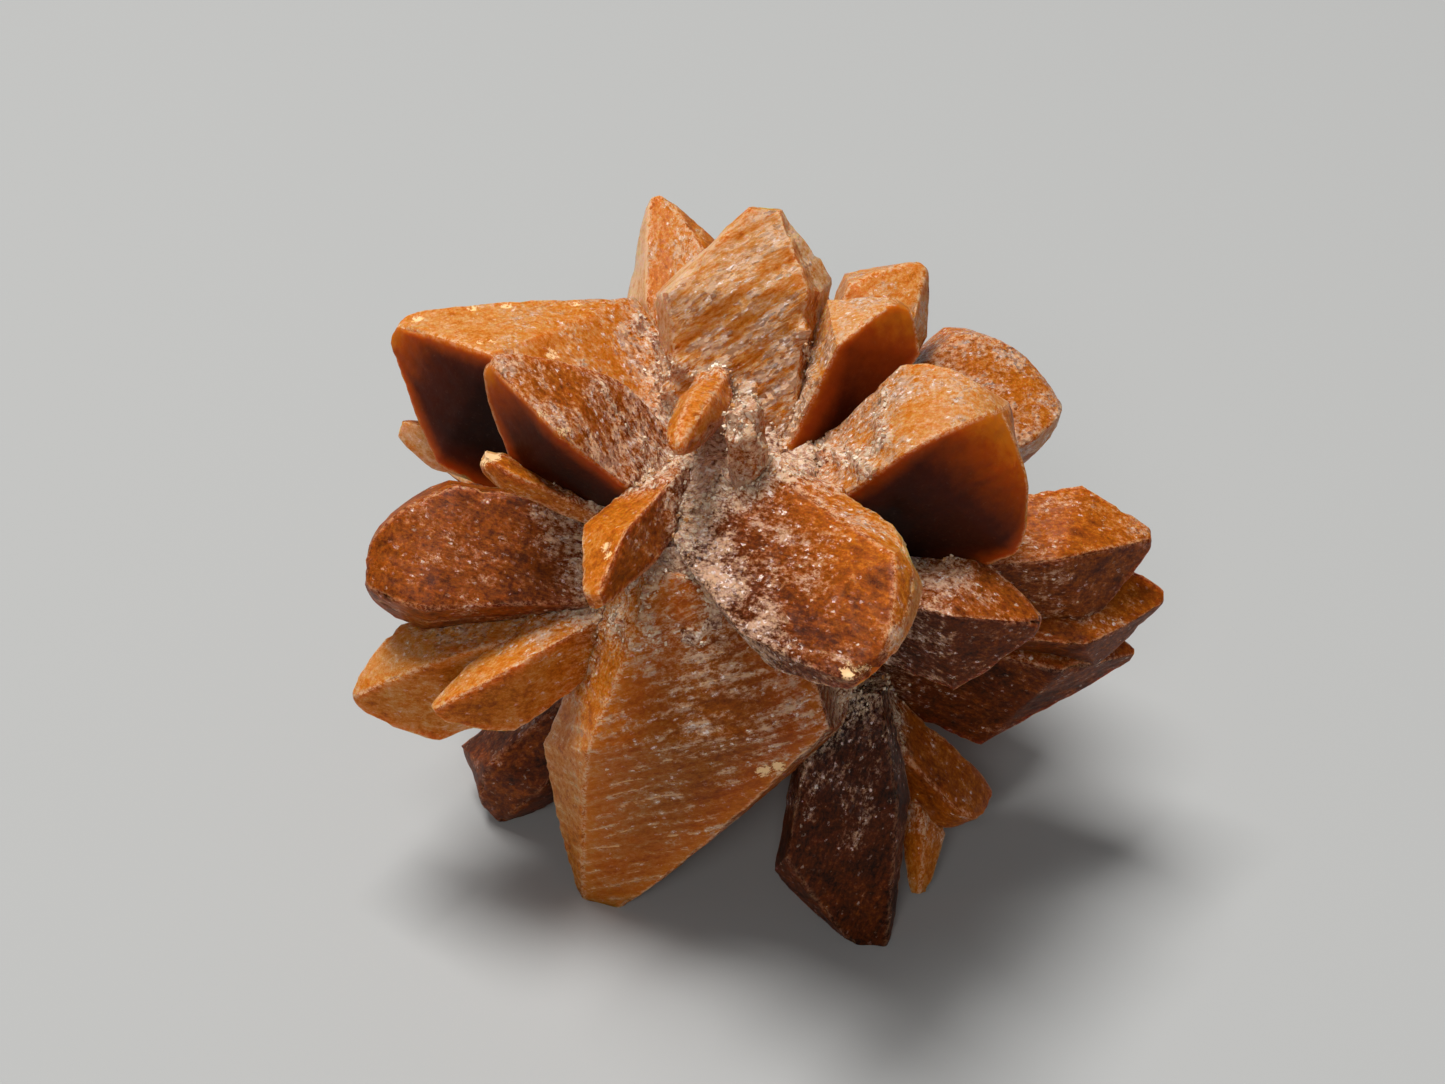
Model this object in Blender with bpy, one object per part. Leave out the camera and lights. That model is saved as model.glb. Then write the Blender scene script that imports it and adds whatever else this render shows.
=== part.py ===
# A glendonite: a ball of stubby calcite spears that grew outwards from one heart.
#
# Every spear widens from its root to a shoulder and then closes to a blunt tip.
# The spears run through each other near the heart, where they are fused, so the
# whole cluster is one solid. Its feet are the tips on which it lies, worn flat
# where they touch the surface.
#
# Sizes are in millimetres, and the table of spears is measured from the heart:
# +X is to the right, +Y to the back and +Z upwards.

import math
from collections import namedtuple

import bmesh
import bpy
from mathutils import Matrix, Vector

MM = 0.001

HEART_HEIGHT = 18.0
HEART_RADIUS = 8.0
HEART_DETAIL = 3
HEART_BUMPS = 0.5
HEART_WAVES = ((1.1, 0.4), (1.3, 0.0), (1.2, 1.0))
FOOT_CUT_SIZE = 60.0
GROWTH_STEPS = (0.0, 0.4, 0.7, 1.0)
GROWTH_POWER = 0.85
TAPER_STEPS = (0.2, 0.42, 0.64, 0.84, 1.0)
CALCITE_BROWN = (0.42, 0.15, 0.04, 1)
CALCITE_ROUGHNESS = 0.45

Spear = namedtuple(
    "Spear",
    "name tip face left right crest height root start point blunt",
    defaults=((0, 0, 0), 0.5, 0.8, 0.12),
)

# tip: where the spear ends. face: the way its broad side looks.
# The next measures are read from a drawing of the broad side, with the root at
# the origin and the tip straight up the sheet. left and right: the side edges
# where they stand out most, as (across, along). crest: the highest edge or edges
# of the broad side, likewise, with height: how far they rise from the middle.
# root: where the spear starts, and start: its share of the full width there.
# point: 1 for straight sides that meet at the tip, 0 for a rounded end.
# blunt: how much of the width is left at the tip.
SPEARS = (
    # The top.
    Spear("top", (1, 7.3, 17.4), (-0.3, -0.7, 0.6),
          (-6, 14), (2.8, 15), ((-4.5, 14.5), (2.8, 15.5)), 2, point=1, blunt=0.2),
    Spear("top_rear", (-5, 17.2, 12.3), (0, -0.6, 0.8),
          (-3, 16), (3.5, 17), ((-2, 15), (2, 16)), 2.5, blunt=0.1),
    Spear("top_right_rear", (9.1, 11.8, 11.3), (0, -0.5, 0.9),
          (-3.5, 16.5), (2, 15.5), ((-2.5, 15.5), (1.5, 14.5)), 2.5),
    Spear("top_right", (7.5, 4.3, 13.6), (-0.1, -0.75, 0.65),
          (-3.5, 14.5), (2, 14.5), ((-1.5, 13.5),), 3.5, blunt=0.25),
    Spear("top_stub", (-0.4, -2.9, 12.6), (-0.2, -0.6, 0.75),
          (-1, 5), (1, 4), ((-0.5, 5), (0.5, 5)), 1.2, (0, -2.5, 6.5), 0.9, 0.4, 0.5),
    # The right side.
    Spear("right_high_front", (11.7, -3, 12.4), (0, -0.75, 0.7),
          (-4.5, 14), (6.3, 14), ((-0.5, 14),), 4.5, point=0.2, blunt=0.08),
    Spear("right_high_rear", (16.4, 10.4, 3.9), (0, -0.6, 0.8),
          (-6.5, 17), (2, 17.5), ((-5, 16), (2, 16)), 2.5, point=0.15),
    Spear("right", (20.6, 1.2, 1.6), (0, -0.85, 0.6),
          (-3, 17.5), (4.5, 17), ((0.5, 15.5),), 3.5, start=0.6),
    Spear("right_low", (21.7, 1, -2), (0, -0.85, 0.5),
          (-1.5, 19.5), (4, 18.5), ((2.5, 17),), 3),
    Spear("right_lower", (20.5, 0.7, -5.7), (0, -1, 0.2),
          (-1.5, 19), (7.5, 15), ((0.5, 16.5),), 3, point=1),
    Spear("right_front", (13.9, -7.6, 3.3), (0, -0.9, 0.45),
          (-2.5, 6), (4.5, 6), ((0, 6),), 3.5, (5, -4, 3), 0.75),
    # The side that looks at the viewer.
    Spear("front_blade", (5.1, -15.9, 7.3), (-0.3, -0.25, 0.65),
          (-6, 10.5), (3, 6.5), ((-4.5, 12), (3, 9)), 1.5, (-2, -3, 6), 0.75, 0.6, 0.2),
    Spear("front_tongue", (-3.5, -5.7, 12.2), (-0.1, -0.6, 0.7),
          (-1.2, 3.5), (1.5, 4.5), ((-0.6, 5.5), (0.5, 5.5)), 1.2, (-1.5, 3.9, 9.4), 0.7, 0.3),
    Spear("front_left_stub", (-7.1, -11, 7.1), (-0.05, -0.75, 0.65),
          (-1, 8), (3, 8.5), ((0.8, 9.8),), 2.2, (-2.5, 1, 6), blunt=0.25),
    Spear("front_foot", (-8.6, -5.2, -18.6), (-0.15, -0.85, 0.5),
          (-9.5, 6.5), (5, 15), ((-9, 4), (2, 11)), 4, (-2.5, -4, 4.5), 0.62, blunt=0.1),
    # The left side.
    Spear("left_high", (-18.3, 7.8, 9.9), (-0.2, -0.65, 0.75),
          (-4.5, 16.5), (8.5, 13), ((1.5, 17),), 4.5, point=0.85, blunt=0.1),
    Spear("left_high_front", (-12.6, 0.1, 13.1), (0, -0.8, 0.6),
          (-3.5, 13.5), (3.5, 12.5), ((-0.5, 14.5),), 3.5, point=0.7),
    Spear("left_splinter", (-13, -1.7, 9.2), (0, -0.5, 0.8),
          (-1.5, 14.5), (0.5, 13.5), ((-1, 14.5),), 1.2, point=0.3, blunt=0.4),
    Spear("left_chip", (-18.2, 6.3, 4.9), (0, -0.7, 0.7),
          (-1.5, 17.5), (1, 18), ((0.5, 18),), 1.5, blunt=0.4),
    Spear("left", (-19.5, -1.5, 1.3), (0, -0.6, 0.8),
          (-2.5, 16.5), (5, 15.5), ((-2.5, 16.5), (4, 15)), 2.5, point=0.4, blunt=0.2),
    Spear("left_low", (-20.5, -3.5, -5.4), (0, -0.85, 0.5),
          (-3.5, 18), (3, 18), ((1, 16),), 3, point=0.6, blunt=0.08),
    Spear("left_low_front", (-16, -6.5, -3.5), (0, -0.8, 0.6),
          (-3, 14), (2, 9), ((0, 12),), 2.8, (-1.5, 1.5, 0.5), point=0.6),
    # The feet and the underside.
    Spear("right_foot", (7, -8.6, -18.5), (-0.1, -0.95, 0.3),
          (-2, 6.5), (5.5, 10.5), ((-1.5, 5.5), (4.5, 8.5)), 2.5, (6, -3.5, -4.5), blunt=0.2),
    Spear("right_foot_splinter", (8.9, -5.9, -17.3), (0.2, -0.9, 0.4),
          (-2, 3), (0.5, 4), ((-0.5, 3),), 1, (8.5, -3, -12), blunt=0.4),
    Spear("right_stub", (12.8, -2.8, -13.4), (0.1, -0.8, 0.6),
          (-1, 16.5), (3, 17), ((1.5, 16.5),), 2, point=0.1, blunt=0.4),
    Spear("left_foot", (-13.6, 1.3, -18.2), (-0.3, -0.9, 0.4),
          (-1.5, 20), (4.5, 22), ((-0.5, 17), (2.5, 19)), 3, point=0.5, blunt=0.35),
    Spear("rear_foot_right", (8, 12, -19), (0.4, 0.8, 0.3),
          (-4, 15), (4.5, 17), ((-2, 15), (3, 16)), 3, point=0.7, blunt=0.2),
    Spear("rear_foot_left", (-6.5, 11, -19), (-0.3, 0.8, 0.4),
          (-4, 16), (3, 14), ((0, 15),), 3.5, point=0.7, blunt=0.2),
    Spear("under", (0.5, 2, -15.5), (1, 0.2, 0),
          (-4, 11), (3.5, 12), ((-1, 11), (2, 12)), 3, point=0.7),
    # The back.
    Spear("rear", (1, 20.5, 0.5), (0.2, 0.1, 1),
          (-5, 15.5), (4, 17), ((-3, 16), (2.5, 15)), 3, point=0.7),
    Spear("rear_high_right", (4, 18.2, 6), (0.6, 0.2, 0.7),
          (-3, 15), (3.5, 16), ((-0.5, 15),), 3, point=0.8),
    Spear("rear_left", (-12.5, 15, 1), (-0.3, 0.4, 0.9),
          (-4.5, 15), (4.5, 16), ((0.5, 15),), 4, point=0.6, blunt=0.1),
    Spear("rear_left_high", (-11, 13, 6), (-0.5, 0.2, 0.8),
          (-3, 14), (3, 15), ((-1, 14), (1.5, 14)), 2.5, point=0.5),
    Spear("rear_low", (-1.5, 18, -8.5), (0.1, 0.6, 0.8),
          (-5, 15), (4.5, 16.5), ((-4, 14.5), (2, 15)), 3.5, point=0.7),
    Spear("rear_right", (12.5, 15.5, -3.5), (0.5, 0.2, 0.8),
          (-5, 16), (4, 17), ((1, 16),), 4, point=0.7, blunt=0.1),
    Spear("right_rear_low", (15.5, 8.5, -9.5), (0.6, 0.3, 0.7),
          (-4, 16), (4, 17), ((-1, 15.5), (2, 16)), 3, point=0.6),
    Spear("left_rear_low", (-16, 8, -7.5), (-0.5, 0.4, 0.8),
          (-4.5, 15.5), (3.5, 17), ((0, 16),), 3.5, point=0.6),
    Spear("left_rear_splinter", (-16.5, 11, -1), (-0.4, 0.3, 0.9),
          (-1.5, 16), (1.5, 17), ((0, 17),), 1.5, point=0.4, blunt=0.3),
)


def widest_corners(spear):
    """The corners of the section, each where it stands out most: (across, along, up)."""
    (left, left_along), (right, right_along) = spear.left, spear.right
    front = [(across, along, spear.height) for across, along in spear.crest]
    back = [(across, along, -spear.height) for across, along in reversed(spear.crest)]
    return [(left, left_along, 0), *front, (right, right_along, 0), *back]


def sections(spear):
    """The corners of the spear's sections from root to tip, in its own frame."""
    length = (Vector(spear.tip) - Vector(spear.root)).length
    corners = widest_corners(spear)
    found = []
    for step in GROWTH_STEPS:
        share = spear.start + (1 - spear.start) * step**GROWTH_POWER
        found.append([(x * share, y * step, z * share) for x, y, z in corners])
    for step in TAPER_STEPS:
        rounded = math.sqrt(1 - step * step)
        share = spear.point * (1 - step) + (1 - spear.point) * rounded
        share = spear.blunt + (1 - spear.blunt) * share
        found.append([(x * share, y + (length - y) * step, z * share) for x, y, z in corners])
    return found


def placing(spear):
    """The matrix that lays the spear's own frame at its root, along its axis."""
    along = (Vector(spear.tip) - Vector(spear.root)).normalized()
    look = Vector(spear.face)
    look = (look - look.dot(along) * along).normalized()
    turn = Matrix((along.cross(look), along, look)).transposed().to_4x4()
    return Matrix.Translation(spear.root) @ turn


def make_spear(spear):
    """One spear: its sections joined by flat faces, closed at both ends."""
    mesh = bmesh.new()
    rings = [[mesh.verts.new(corner) for corner in ring] for ring in sections(spear)]
    for lower, upper in zip(rings, rings[1:]):
        for near in range(len(lower)):
            far = (near + 1) % len(lower)
            mesh.faces.new((lower[near], lower[far], upper[far], upper[near]))
    mesh.faces.new(rings[0])
    mesh.faces.new(rings[-1])
    bmesh.ops.triangulate(mesh, faces=mesh.faces)
    bmesh.ops.transform(mesh, matrix=placing(spear), verts=mesh.verts)
    bmesh.ops.recalc_face_normals(mesh, faces=mesh.faces)
    return mesh


def make_heart():
    """The lumpy middle in which the roots are fused."""
    mesh = bmesh.new()
    bmesh.ops.create_icosphere(mesh, subdivisions=HEART_DETAIL, radius=HEART_RADIUS)
    for vertex in mesh.verts:
        waves = [math.sin(pitch * at + shift) for at, (pitch, shift) in zip(vertex.co, HEART_WAVES)]
        vertex.co += vertex.co.normalized() * HEART_BUMPS * sum(waves)
    return mesh


def make_foot_cutter():
    """A block whose top is the surface on which the cluster lies."""
    mesh = bmesh.new()
    bmesh.ops.create_cube(mesh, size=FOOT_CUT_SIZE)
    drop = HEART_HEIGHT + FOOT_CUT_SIZE / 2
    bmesh.ops.translate(mesh, vec=(0, 0, -drop), verts=mesh.verts)
    return mesh


def centring(meshes):
    """The move that lays the middle of the cluster over the origin, its feet at zero."""
    points = [vertex.co for mesh in meshes for vertex in mesh.verts]
    middle = [(min(p[axis] for p in points) + max(p[axis] for p in points)) / 2 for axis in (0, 1)]
    return Matrix.Translation((-middle[0], -middle[1], HEART_HEIGHT))


def as_object(name, mesh, place, collection, helper=True):
    """The mesh as an object of the collection, at real size."""
    bmesh.ops.transform(mesh, matrix=Matrix.Scale(MM, 4) @ place, verts=mesh.verts)
    data = bpy.data.meshes.new(name)
    mesh.to_mesh(data)
    mesh.free()
    made = bpy.data.objects.new(name, data)
    collection.objects.link(made)
    if helper:
        made.hide_render = True
        made.display_type = "WIRE"
    return made


def calcite():
    """Warm brown, waxy calcite."""
    material = bpy.data.materials.new("calcite")
    material.use_nodes = True
    shader = material.node_tree.nodes["Principled BSDF"]
    shader.inputs["Base Color"].default_value = CALCITE_BROWN
    shader.inputs["Roughness"].default_value = CALCITE_ROUGHNESS
    return material


def build():
    for old in list(bpy.data.objects):
        bpy.data.objects.remove(old)
    scene = bpy.context.scene.collection
    spears = bpy.data.collections.new("spears")
    scene.children.link(spears)
    meshes = {spear.name: make_spear(spear) for spear in SPEARS}
    place = centring(meshes.values())
    for name, mesh in meshes.items():
        as_object(name, mesh, place, spears)
    cutter = as_object("surface", make_foot_cutter(), place, scene)
    cluster = as_object("glendonite", make_heart(), place, scene, helper=False)
    cluster.data.materials.append(calcite())
    fuse = cluster.modifiers.new("fuse", "BOOLEAN")
    fuse.operation = "UNION"
    fuse.operand_type = "COLLECTION"
    fuse.collection = spears
    fuse.solver = "EXACT"
    feet = cluster.modifiers.new("flat feet", "BOOLEAN")
    feet.operation = "DIFFERENCE"
    feet.object = cutter
    feet.solver = "EXACT"


build()
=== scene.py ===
# A glendonite on a pale floor: a ball of waxy brown calcite spears.

import math
import random
from collections import namedtuple

import bmesh
import bpy
from mathutils import Matrix, Vector, noise
from mathutils.geometry import intersect_point_line
from mathutils.kdtree import KDTree


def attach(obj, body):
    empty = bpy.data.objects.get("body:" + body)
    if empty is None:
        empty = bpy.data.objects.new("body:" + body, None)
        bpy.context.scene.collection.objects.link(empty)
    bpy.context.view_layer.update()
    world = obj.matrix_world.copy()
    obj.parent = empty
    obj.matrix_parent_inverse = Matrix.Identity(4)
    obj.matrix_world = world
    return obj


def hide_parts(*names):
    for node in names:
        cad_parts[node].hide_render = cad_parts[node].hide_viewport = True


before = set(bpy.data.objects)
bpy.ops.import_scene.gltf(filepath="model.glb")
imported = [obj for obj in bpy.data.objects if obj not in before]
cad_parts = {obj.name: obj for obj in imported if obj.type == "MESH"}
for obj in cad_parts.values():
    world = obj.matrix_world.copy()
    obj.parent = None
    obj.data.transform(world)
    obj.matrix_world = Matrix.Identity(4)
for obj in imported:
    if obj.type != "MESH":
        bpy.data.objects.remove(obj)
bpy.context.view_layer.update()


# The crystals.
# Calcite that took the shape of older ikaite spears. They grew outwards from one
# heart and are fused where they meet, so the whole cluster is one closed solid.

# Sizes are in millimetres, measured from the heart: +X is to the right, +Y to the
# back and +Z upwards.
MM = 0.001
HEART_HEIGHT = 18.0
HEART_RADIUS = 8.0

Spear = namedtuple(
    "Spear",
    "name tip face left right crest height root start point blunt",
    defaults=((0, 0, 0), 0.5, 0.8, 0.12),
)

# tip: where the spear ends. face: the way its broad side looks.
# The next measures are read from a drawing of the broad side, with the root at
# the origin and the tip straight up the sheet. left and right: the side edges
# where they stand out most, as (across, along). crest: the highest edge or edges
# of the broad side, likewise, with height: how far they rise from the middle.
# root: where the spear starts, and start: its share of the full width there.
# point: 1 for straight sides that meet at the tip, 0 for a rounded end.
# blunt: how much of the width is left at the tip.
SPEARS = (
    # The top.
    Spear("top", (1, 7.3, 17.4), (-0.3, -0.7, 0.6),
          (-6, 14), (2.8, 15), ((-4.5, 14.5), (2.8, 15.5)), 2, point=1, blunt=0.2),
    Spear("top_rear", (-5, 17.2, 12.3), (0, -0.6, 0.8),
          (-3, 16), (3.5, 17), ((-2, 15), (2, 16)), 2.5, blunt=0.1),
    Spear("top_right_rear", (9.1, 11.8, 11.3), (0, -0.5, 0.9),
          (-3.5, 16.5), (2, 15.5), ((-2.5, 15.5), (1.5, 14.5)), 2.5),
    Spear("top_right", (7.5, 4.3, 13.6), (-0.1, -0.75, 0.65),
          (-3.5, 14.5), (2, 14.5), ((-1.5, 13.5),), 3.5, blunt=0.25),
    Spear("top_stub", (-0.4, -2.9, 12.6), (-0.2, -0.6, 0.75),
          (-1, 5), (1, 4), ((-0.5, 5), (0.5, 5)), 1.2, (0, -2.5, 6.5), 0.9, 0.4, 0.5),
    # The right side.
    Spear("right_high_front", (11.7, -3, 12.4), (0, -0.75, 0.7),
          (-4.5, 14), (6.3, 14), ((-0.5, 14),), 4.5, point=0.2, blunt=0.08),
    Spear("right_high_rear", (16.4, 10.4, 3.9), (0, -0.6, 0.8),
          (-6.5, 17), (2, 17.5), ((-5, 16), (2, 16)), 2.5, point=0.15),
    Spear("right", (20.6, 1.2, 1.6), (0, -0.85, 0.6),
          (-3, 17.5), (4.5, 17), ((0.5, 15.5),), 3.5, start=0.6),
    Spear("right_low", (21.7, 1, -2), (0, -0.85, 0.5),
          (-1.5, 19.5), (4, 18.5), ((2.5, 17),), 3),
    Spear("right_lower", (20.5, 0.7, -5.7), (0, -1, 0.2),
          (-1.5, 19), (7.5, 15), ((0.5, 16.5),), 3, point=1),
    Spear("right_front", (13.9, -7.6, 3.3), (0, -0.9, 0.45),
          (-2.5, 6), (4.5, 6), ((0, 6),), 3.5, (5, -4, 3), 0.75),
    # The side that looks at the viewer.
    Spear("front_blade", (5.1, -15.9, 7.3), (-0.3, -0.25, 0.65),
          (-6, 10.5), (3, 6.5), ((-4.5, 12), (3, 9)), 1.5, (-2, -3, 6), 0.75, 0.6, 0.2),
    Spear("front_tongue", (-3.5, -5.7, 12.2), (-0.1, -0.6, 0.7),
          (-1.2, 3.5), (1.5, 4.5), ((-0.6, 5.5), (0.5, 5.5)), 1.2, (-1.5, 3.9, 9.4), 0.7, 0.3),
    Spear("front_left_stub", (-7.1, -11, 7.1), (-0.05, -0.75, 0.65),
          (-1, 8), (3, 8.5), ((0.8, 9.8),), 2.2, (-2.5, 1, 6), blunt=0.25),
    Spear("front_foot", (-8.6, -5.2, -18.6), (-0.15, -0.85, 0.5),
          (-9.5, 6.5), (5, 15), ((-9, 4), (2, 11)), 4, (-2.5, -4, 4.5), 0.62, blunt=0.1),
    # The left side.
    Spear("left_high", (-18.3, 7.8, 9.9), (-0.2, -0.65, 0.75),
          (-4.5, 16.5), (8.5, 13), ((1.5, 17),), 4.5, point=0.85, blunt=0.1),
    Spear("left_high_front", (-12.6, 0.1, 13.1), (0, -0.8, 0.6),
          (-3.5, 13.5), (3.5, 12.5), ((-0.5, 14.5),), 3.5, point=0.7),
    Spear("left_splinter", (-13, -1.7, 9.2), (0, -0.5, 0.8),
          (-1.5, 14.5), (0.5, 13.5), ((-1, 14.5),), 1.2, point=0.3, blunt=0.4),
    Spear("left_chip", (-18.2, 6.3, 4.9), (0, -0.7, 0.7),
          (-1.5, 17.5), (1, 18), ((0.5, 18),), 1.5, blunt=0.4),
    Spear("left", (-19.5, -1.5, 1.3), (0, -0.6, 0.8),
          (-2.5, 16.5), (5, 15.5), ((-2.5, 16.5), (4, 15)), 2.5, point=0.4, blunt=0.2),
    Spear("left_low", (-20.5, -3.5, -5.4), (0, -0.85, 0.5),
          (-3.5, 18), (3, 18), ((1, 16),), 3, point=0.6, blunt=0.08),
    Spear("left_low_front", (-16, -6.5, -3.5), (0, -0.8, 0.6),
          (-3, 14), (2, 9), ((0, 12),), 2.8, (-1.5, 1.5, 0.5), point=0.6),
    # The feet and the underside.
    Spear("right_foot", (7, -8.6, -18.5), (-0.1, -0.95, 0.3),
          (-2, 6.5), (5.5, 10.5), ((-1.5, 5.5), (4.5, 8.5)), 2.5, (6, -3.5, -4.5), blunt=0.2),
    Spear("right_foot_splinter", (8.9, -5.9, -17.3), (0.2, -0.9, 0.4),
          (-2, 3), (0.5, 4), ((-0.5, 3),), 1, (8.5, -3, -12), blunt=0.4),
    Spear("right_stub", (12.8, -2.8, -13.4), (0.1, -0.8, 0.6),
          (-1, 16.5), (3, 17), ((1.5, 16.5),), 2, point=0.1, blunt=0.4),
    Spear("left_foot", (-13.6, 1.3, -18.2), (-0.3, -0.9, 0.4),
          (-1.5, 20), (4.5, 22), ((-0.5, 17), (2.5, 19)), 3, point=0.5, blunt=0.35),
    Spear("rear_foot_right", (8, 12, -19), (0.4, 0.8, 0.3),
          (-4, 15), (4.5, 17), ((-2, 15), (3, 16)), 3, point=0.7, blunt=0.2),
    Spear("rear_foot_left", (-6.5, 11, -19), (-0.3, 0.8, 0.4),
          (-4, 16), (3, 14), ((0, 15),), 3.5, point=0.7, blunt=0.2),
    Spear("under", (0.5, 2, -15.5), (1, 0.2, 0),
          (-4, 11), (3.5, 12), ((-1, 11), (2, 12)), 3, point=0.7),
    # The back.
    Spear("rear", (1, 20.5, 0.5), (0.2, 0.1, 1),
          (-5, 15.5), (4, 17), ((-3, 16), (2.5, 15)), 3, point=0.7),
    Spear("rear_high_right", (4, 18.2, 6), (0.6, 0.2, 0.7),
          (-3, 15), (3.5, 16), ((-0.5, 15),), 3, point=0.8),
    Spear("rear_left", (-12.5, 15, 1), (-0.3, 0.4, 0.9),
          (-4.5, 15), (4.5, 16), ((0.5, 15),), 4, point=0.6, blunt=0.1),
    Spear("rear_left_high", (-11, 13, 6), (-0.5, 0.2, 0.8),
          (-3, 14), (3, 15), ((-1, 14), (1.5, 14)), 2.5, point=0.5),
    Spear("rear_low", (-1.5, 18, -8.5), (0.1, 0.6, 0.8),
          (-5, 15), (4.5, 16.5), ((-4, 14.5), (2, 15)), 3.5, point=0.7),
    Spear("rear_right", (12.5, 15.5, -3.5), (0.5, 0.2, 0.8),
          (-5, 16), (4, 17), ((1, 16),), 4, point=0.7, blunt=0.1),
    Spear("right_rear_low", (15.5, 8.5, -9.5), (0.6, 0.3, 0.7),
          (-4, 16), (4, 17), ((-1, 15.5), (2, 16)), 3, point=0.6),
    Spear("left_rear_low", (-16, 8, -7.5), (-0.5, 0.4, 0.8),
          (-4.5, 15.5), (3.5, 17), ((0, 16),), 3.5, point=0.6),
    Spear("left_rear_splinter", (-16.5, 11, -1), (-0.4, 0.3, 0.9),
          (-1.5, 16), (1.5, 17), ((0, 17),), 1.5, point=0.4, blunt=0.3),
)


# The state of a side. frost: how much sugary calcite lies on it. lit: 1 where it
# scatters light at its skin, 0 where its colour is painted shade with a painted glow
# at its rims, as clear calcite shows with light behind it, and in between a little of
# both. tone: its place between deep brown, 0, and bright tan, 1.
State = namedtuple("State", "frost lit tone")

STATES = {
    "satin": State(0.3, 1, 0.9),
    "waxy": State(0.1, 1, 0.62),
    "sugary": State(0.5, 1, 0.72),
    "silvery": State(0.8, 1, 0.65),
    # Half painted: a painted glow where light shines through, and painted shade.
    "amber": State(0.25, 0.55, 0.66),
    "dull": State(0.3, 1, 0.5),
    # Dark brown, darkened further for the sides in shade: partly painted shade.
    "dim_painted_shade": State(0.0, 1, 0.28),
    # Clear calcite in painted shade, with a painted glow at its rims.
    "glassy_painted_shade": State(-1.0, 0, 0.5),
}

# The skin of each spear. sides: the states of the front sides, from left to right as
# in the drawing. tone: how much brighter than its states it is. Growth steps lie
# step apart, are depth deep and rise this many degrees towards the spear's right.
# lines: how clearly they are drawn. fine: the mesh's spacing, as a share of the
# usual one. drift and fade: how much more frost the right edge has than the middle,
# and how much darker it is, on the front foot a painted shadow. glow: how wide the
# painted glow at the rims of a clear side is.
Skin = namedtuple(
    "Skin",
    "sides tone step depth rise lines fine drift fade glow",
    defaults=((), 0, 2.2, 0.05, 78, 0.25, 1.0, 0, 0, 1.0),
)

SKINS = {
    "top": Skin(("sugary", "silvery", "dull"), 0.28, 1.5, 0.11, 37, lines=1.0, fine=0.85, drift=0.2),
    "top_rear": Skin(("satin", "silvery", "dull"), 0.15, 2.0, 0.05, 80, lines=0.5),
    "top_right_rear": Skin(("sugary", "sugary", "sugary"), 0.05),
    "top_right": Skin(("silvery", "glassy_painted_shade"), 0.26, glow=1.8),
    "top_stub": Skin(("silvery", "silvery", "sugary"), 0, 1.0, 0.1, 60),
    "right_high_front": Skin(
        ("sugary", "glassy_painted_shade"), 0.1, 2.4, 0.06, 80, lines=0.2, fine=0.85, drift=-0.25
    ),
    "right_high_rear": Skin(("silvery", "silvery", "sugary"), 0.05, 2.4, 0.05, 80, lines=0.1),
    "right": Skin(("sugary", "dull"), -0.14, 2.4, 0.06, 80),
    # These three lie in the shade under the spears above them: their dark states and lower tones are
    # partly painted shade.
    "right_low": Skin(("dull", "dim_painted_shade"), 0),
    "right_lower": Skin(("dull", "dim_painted_shade"), -0.05),
    "right_front": Skin(("sugary", "dull"), -0.24, 2.2, 0.06, 70),
    "front_blade": Skin(
        ("silvery", "dull", "dull"), -0.04, 2.4, 0.08, -70, lines=0.35, fine=0.85, drift=0.4, fade=0.16
    ),
    "front_tongue": Skin(("waxy", "waxy", "waxy"), 0.08, 3.0, 0.03, 80, lines=0.1),
    "front_left_stub": Skin(("dull", "waxy"), 0, 3.0, 0.03, 80, lines=0.1),
    # The front foot's amber side and wide glow paint its tip glowing where light shines through, and
    # its fade paints the shadow of the blade above on its far side: painted glow and painted shadow.
    "front_foot": Skin(
        ("dull", "amber", "waxy"), 0.06, 0.8, 0.05, 42,
        lines=0.5, fine=0.8, drift=-0.05, fade=-0.08, glow=4.0,
    ),
    "left_high": Skin(
        ("glassy_painted_shade", "satin"), -0.12, 2.4, 0.05, 80, lines=0.1, fine=0.85, drift=0.35
    ),
    "left_high_front": Skin(("glassy_painted_shade", "silvery"), -0.04, 1.4, 0.05, 60, lines=0.4),
    "left_splinter": Skin(("dull", "dull", "dull"), 0.1),
    "left_chip": Skin(("satin", "dull"), 0),
    "left": Skin(("dull", "dull", "dull"), -0.08, 2.2, 0.05, 70),
    "left_low": Skin(("waxy", "sugary"), 0.1, 2.2, 0.05, 70),
    "left_low_front": Skin(("waxy", "sugary"), 0.05, 2.2, 0.05, 70),
    # The feet stand in the shade under the cluster: their dim states are partly painted shade.
    "right_foot": Skin(("dim_painted_shade", "dim_painted_shade", "dim_painted_shade"), -0.1, 2.2, 0.05, 70),
    "right_stub": Skin(("dull", "dull"), 0),
    "left_foot": Skin(("dim_painted_shade", "dim_painted_shade", "dim_painted_shade"), 0, 2.2, 0.05, 70),
}

# How fine the mesh is along and across a spear, how much finer it is towards the
# tip, how deep in the heart a root is left coarse, and how wide a ridge is rounded.
SPACING = 0.34
ACROSS_SPACING = 0.44
TIP_FINER = 1.3
HIDDEN_DEPTH = 6.0
RIDGE_ROUND = 0.16

# A spear widens quickly from its root: this is the power of its share of the way.
ROOT_SPREAD = 0.85

# The relief of the skin: long waves, fine grain, and how much a worn ridge loses
# and how wide it is worn.
SKIN_WAVE = 0.1
SKIN_GRAIN = 0.05
RIDGE_CHIP = 0.22
RIDGE_WEAR = 0.3


def length_of(spear):
    """How long a spear is from its root to its tip."""
    return (Vector(spear.tip) - Vector(spear.root)).length


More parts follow.
